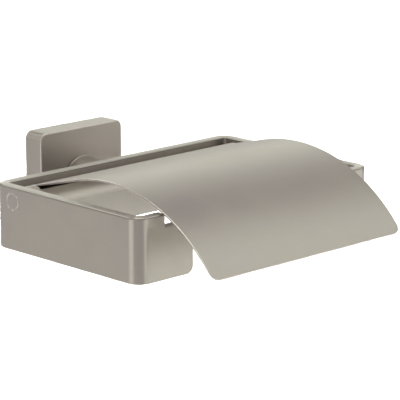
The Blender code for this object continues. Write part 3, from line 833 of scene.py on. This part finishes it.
BRACKET_CORNER = 1.5 * MM
BRACKET_EDGE = 0.2 * MM
SLOT_CUTTER_EDGE = 0.01 * MM
FOLD_STEPS = 10
FOLD_RADIUS = BRACKET_BEND - BRACKET_THICKNESS / 2
FOLD_LENGTH = FOLD_RADIUS * math.pi / 2
BRACKET_BASE = bracket_high.z - BRACKET_BEND
FLANGE_LENGTH = -bracket_low.y - BRACKET_BEND


def bend_bracket(u, v, lift):
    """Lift grows towards the wall; the flanges go forward."""
    side = 1 if v >= 0 else -1
    along = abs(v)
    if along <= BRACKET_BASE:
        return (u, -BRACKET_THICKNESS / 2 + lift, v)
    radius = FOLD_RADIUS + lift
    turn = min((along - BRACKET_BASE) / FOLD_RADIUS, math.pi / 2)
    y = -BRACKET_BEND + radius * math.cos(turn)
    z = BRACKET_BASE + radius * math.sin(turn)
    rest = max(0.0, along - BRACKET_BASE - FOLD_LENGTH)
    return (u, y - rest, side * z)


def make_bracket():
    """Sheet with two slots, folded forward along its upper and lower edges."""
    half_length = BRACKET_BASE + FOLD_LENGTH + FLANGE_LENGTH
    outline = rounded_box(bracket_high.x, half_length, BRACKET_CORNER, 8)
    solid = slab(outline, BRACKET_THICKNESS, BRACKET_EDGE, 3)
    cutters = []
    straight = SLOT_LENGTH / 2 - SLOT_RADIUS
    for side in (-1, 1):
        middle = side * SLOT_SPACING / 2
        slot_line = arc(middle + straight, 0, SLOT_RADIUS, -90, 90, 24)
        slot_line += arc(middle - straight, 0, SLOT_RADIUS, 90, 270, 24)
        cutters.append(slab(slot_line, 3 * BRACKET_THICKNESS, SLOT_CUTTER_EDGE, 1))
    grub_along = BRACKET_BASE + FOLD_LENGTH - GRUB_Y - BRACKET_BEND
    grub_hole = drill(GRUB_BORE, -BRACKET_THICKNESS * 2, BRACKET_THICKNESS * 2)
    cutters.append(moved(grub_hole, Matrix.Translation((0, -grub_along, 0))))
    solid = cut(solid, cutters)
    stations = [side * (BRACKET_BASE + FOLD_LENGTH * k / FOLD_STEPS)
                for side in (-1, 1) for k in range(FOLD_STEPS + 1)]
    slice_along(solid, 1, stations)
    finish_piece("mounting_bracket_sheet", solid, ZINC, "holder", "zinc_plated_steel", "mounting_bracket",
                 bend=bend_bracket)


# ---------------------------------------------------------------- fasteners

WASHER_SOFT = 0.15 * MM
NUT_CORNER_DROP = 0.6
NUT_MARGIN = 0.1 * MM
LOCK_SHARE = 0.95
LOCK_STEPS = 72
DOWEL_SOFT = 0.4 * MM


def finish_steel(name, solid, node, place, **style):
    finish_piece(name, solid, STEEL, "holder", "stainless_steel", node, place=place, **style)


def make_stud_and_washer():
    on_axis = at((0, 0, 0), "wall")
    stud = threaded(stud_high.x, stud_low.y, stud_high.y, M5_PITCH)
    finish_steel("clamp_stud_threaded", stud, "clamp_stud", on_axis, grain=round_grain)
    washer = soft_tube(STUD_BORE, washer_high.x, washer_low.y, washer_high.y, WASHER_SOFT)
    finish_steel("clamp_washer_flat", turned(washer, 96), "clamp_washer", on_axis, grain=round_grain)


def make_nut():
    """Hexagon with its corners turned off at both ends, and a countersunk bore."""
    half = (nut_high.y - nut_low.y) / 2
    corner = max(nut_high.x, nut_high.z)
    flat = corner * math.cos(math.pi / 6)
    drop = (corner - flat) * NUT_CORNER_DROP
    past = corner + NUT_MARGIN
    hexagon = turned([(0, -half), (corner, -half), (corner, half), (0, half)], 6)
    cone = turned([(0, -half), (flat, -half), (past, -half + drop),
                   (past, half - drop), (flat, half), (0, half)])
    nut = cut(hexagon, [cone], "INTERSECT")
    nut = cut(nut, [drill(STUD_BORE, -half - OVER, half, flare=COUNTERSINK)])
    finish_steel("clamp_nut_hex", nut, "clamp_nut", at((0, (nut_high.y + nut_low.y) / 2, 0), "wall"))


def make_lock_washer():
    """Bar bent into a split ring that rises a little from one end to the other."""
    outer = max(lock_high.x, -lock_low.x)
    middle = (outer + STUD_BORE) / 2
    length = 2 * math.pi * middle * LOCK_SHARE
    thickness = lock_high.y - lock_low.y - LOCK_RISE
    outline = rounded_box(length / 2, (outer - STUD_BORE) / 2, WASHER_SOFT, 3)
    ring = slab(outline, thickness, WASHER_SOFT, 3)
    slice_along(ring, 0, [length * (k / LOCK_STEPS - 0.5) for k in range(1, LOCK_STEPS)])

    def bend(u, v, lift):
        angle = u / middle - math.pi / 2
        radius = middle + v
        return (radius * math.cos(angle), radius * math.sin(angle), lift + LOCK_RISE * u / length)
    finish_steel("clamp_lock_washer_split", ring, "clamp_lock_washer",
                 at((0, (lock_low.y + lock_high.y) / 2, 0), "wall"), bend=bend)


def make_dowel(name):
    low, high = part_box(name)
    rod = turned(soft_rod((high.x - low.x) / 2, low.y, high.y, DOWEL_SOFT), 48)
    finish_steel(f"{name}_pin", rod, name, at((0, 0, (low.z + high.z) / 2), "wall"))


def make_grub_screw():
    """Threaded rod with a hexagon socket, its socket end down."""
    length = grub_high.z - grub_low.z
    grub = threaded(grub_high.x, 0, length, M4_PITCH)
    key_end, key_top = length - KEY_DEPTH, length + OVER
    key = turned([(0, key_end), (KEY_RADIUS, key_end), (KEY_RADIUS, key_top), (0, key_top)], 6)
    finish_steel("grub_screw_threaded", cut(grub, [key]), "grub_screw", at((0, GRUB_Y, grub_high.z), "down"),
                 grain=round_grain)


make_plate()
make_post()
make_bar()
make_lid()
for hinge_side in ("left", "right"):
    make_hinge(hinge_side)
make_bracket()
make_stud_and_washer()
make_nut()
make_lock_washer()
for dowel_name in ("rear_dowel", "front_dowel"):
    make_dowel(dowel_name)
make_grub_screw()

# ---------------------------------------------------------------- floor, light and camera

FLOOR_Z = -0.35
FLOOR_HALF = 30.0
FLOOR_TONE = (0.90, 0.90, 0.90, 1)
WORLD_COLOUR = (1.0, 0.90, 0.955, 1)
WORLD_STRENGTH = 0.37
LIGHT_AIM = Vector((0, -0.08, 0))
WARM = (0.93, 1.0, 0.85)
YELLOW = (0.93, 1.0, 0.70)
TOP_WARM = (0.96, 1.0, 0.78)
FAR_FLOOR_LIGHT = Vector((1.25, 1.2, 1.5))
NEAR_FLOOR_LIGHT = Vector((0.29, -0.32, FLOOR_Z + 0.15))
SUN_STRENGTH = 0.48
SUN_ANGLE = math.radians(60)
LENS = 217.1
SENSOR = 36
CLIP_END = 100
CAMERA_PLACE = Vector((-0.81089, -0.93999, 0.29288))
CAMERA_AIM = Vector((0.012479, -0.088207, -0.00012))


def toward(azimuth, elevation, distance):
    """Point seen from the origin at an azimuth (0 is +Y, 90 is +X) and an elevation."""
    a, e = math.radians(azimuth), math.radians(elevation)
    return Vector((math.sin(a) * math.cos(e), math.cos(a) * math.cos(e), math.sin(e))) * distance


# Each soft light's place, width, height, radiance and colour.
PANELS = {
    "back_right": (toward(42, 18, 1.9), 1.5, 0.5, 1.30, WARM),
    "back_high": (toward(50, 33, 1.9), 1.2, 0.5, 0.68, WARM),
    "front_right": (toward(124, 42, 1.5), 0.9, 1.1, 0.91, WARM),
    "front": (toward(150, -8, 1.3), 1.9, 0.8, 0.92, WARM),
    "left": (toward(-82, 0, 1.2), 0.8, 0.9, 0.90, WARM),
    "back_left": (toward(-42, 20, 1.4), 0.7, 0.9, 0.75, WARM),
    "back_left_high": (toward(-19, 42, 1.6), 0.5, 0.4, 1.95, WARM),
    "behind_camera": (toward(-112, 46, 1.6), 0.8, 0.6, 1.0, YELLOW),
    "above": (LIGHT_AIM + Vector((0, 0, 1.6)), 1.0, 1.0, 2.6, TOP_WARM),
}


def aim_at(obj, point):
    obj.rotation_euler = (point - obj.location).to_track_quat("-Z", "Y").to_euler()


def make_floor():
    """Large pale floor, far under the object."""
    solid = bmesh.new()
    bmesh.ops.create_grid(solid, x_segments=8, y_segments=8, size=FLOOR_HALF)
    mesh = bpy.data.meshes.new("floor")
    solid.to_mesh(mesh)
    solid.free()
    floor = add_object("floor", mesh)
    floor.location = (0, 0, FLOOR_Z)
    material, _, shader = new_material("pale_floor")
    shader.inputs["Base Color"].default_value = FLOOR_TONE
    shader.inputs["Roughness"].default_value = 0.9
    shader.inputs["Specular IOR Level"].default_value = 0.1
    mesh.materials.append(material)


def make_world():
    world = bpy.data.worlds.new("studio")
    world.use_nodes = True
    background = world.node_tree.nodes["Background"]
    background.inputs["Color"].default_value = WORLD_COLOUR
    background.inputs["Strength"].default_value = WORLD_STRENGTH
    bpy.context.scene.world = world


def add_panel(name, place, width, height, radiance, colour):
    """Soft rectangular light with the given radiance, which faces down and which the camera can't see."""
    light = bpy.data.lights.new(name, "AREA")
    light.shape = "RECTANGLE"
    light.size = width
    light.size_y = height
    light.energy = radiance * math.pi * width * height
    light.color = colour
    panel = add_object(name, light)
    panel.location = place
    panel.visible_camera = False
    return panel


def narrow(panel, spread_deg):
    """Keep the light on one spot of the floor, and out of the metal."""
    panel.data.spread = math.radians(spread_deg)
    panel.visible_glossy = False


def make_lights():
    for name, (place, width, height, radiance, colour) in PANELS.items():
        aim_at(add_panel(name, place, width, height, radiance, colour), LIGHT_AIM)
    far = add_panel("floor_light", FAR_FLOOR_LIGHT, 1.0, 2.4, 1.7, (1, 1, 1))
    far.rotation_euler.z = math.radians(-46)
    narrow(far, 22)
    narrow(add_panel("near_floor_light", NEAR_FLOOR_LIGHT, 0.22, 0.22, 0.85, WARM), 70)
    sun = bpy.data.lights.new("overhead", "SUN")
    sun.energy = SUN_STRENGTH
    sun.angle = SUN_ANGLE
    add_object("overhead", sun).visible_glossy = False


def make_camera():
    data = bpy.data.cameras.new("camera")
    data.lens = LENS
    data.sensor_width = SENSOR
    data.clip_end = CLIP_END
    camera = add_object("camera", data)
    camera.location = CAMERA_PLACE
    aim_at(camera, CAMERA_AIM)
    bpy.context.scene.camera = camera
    bpy.context.scene.view_settings.view_transform = "Standard"


make_floor()
make_world()
make_lights()
make_camera()
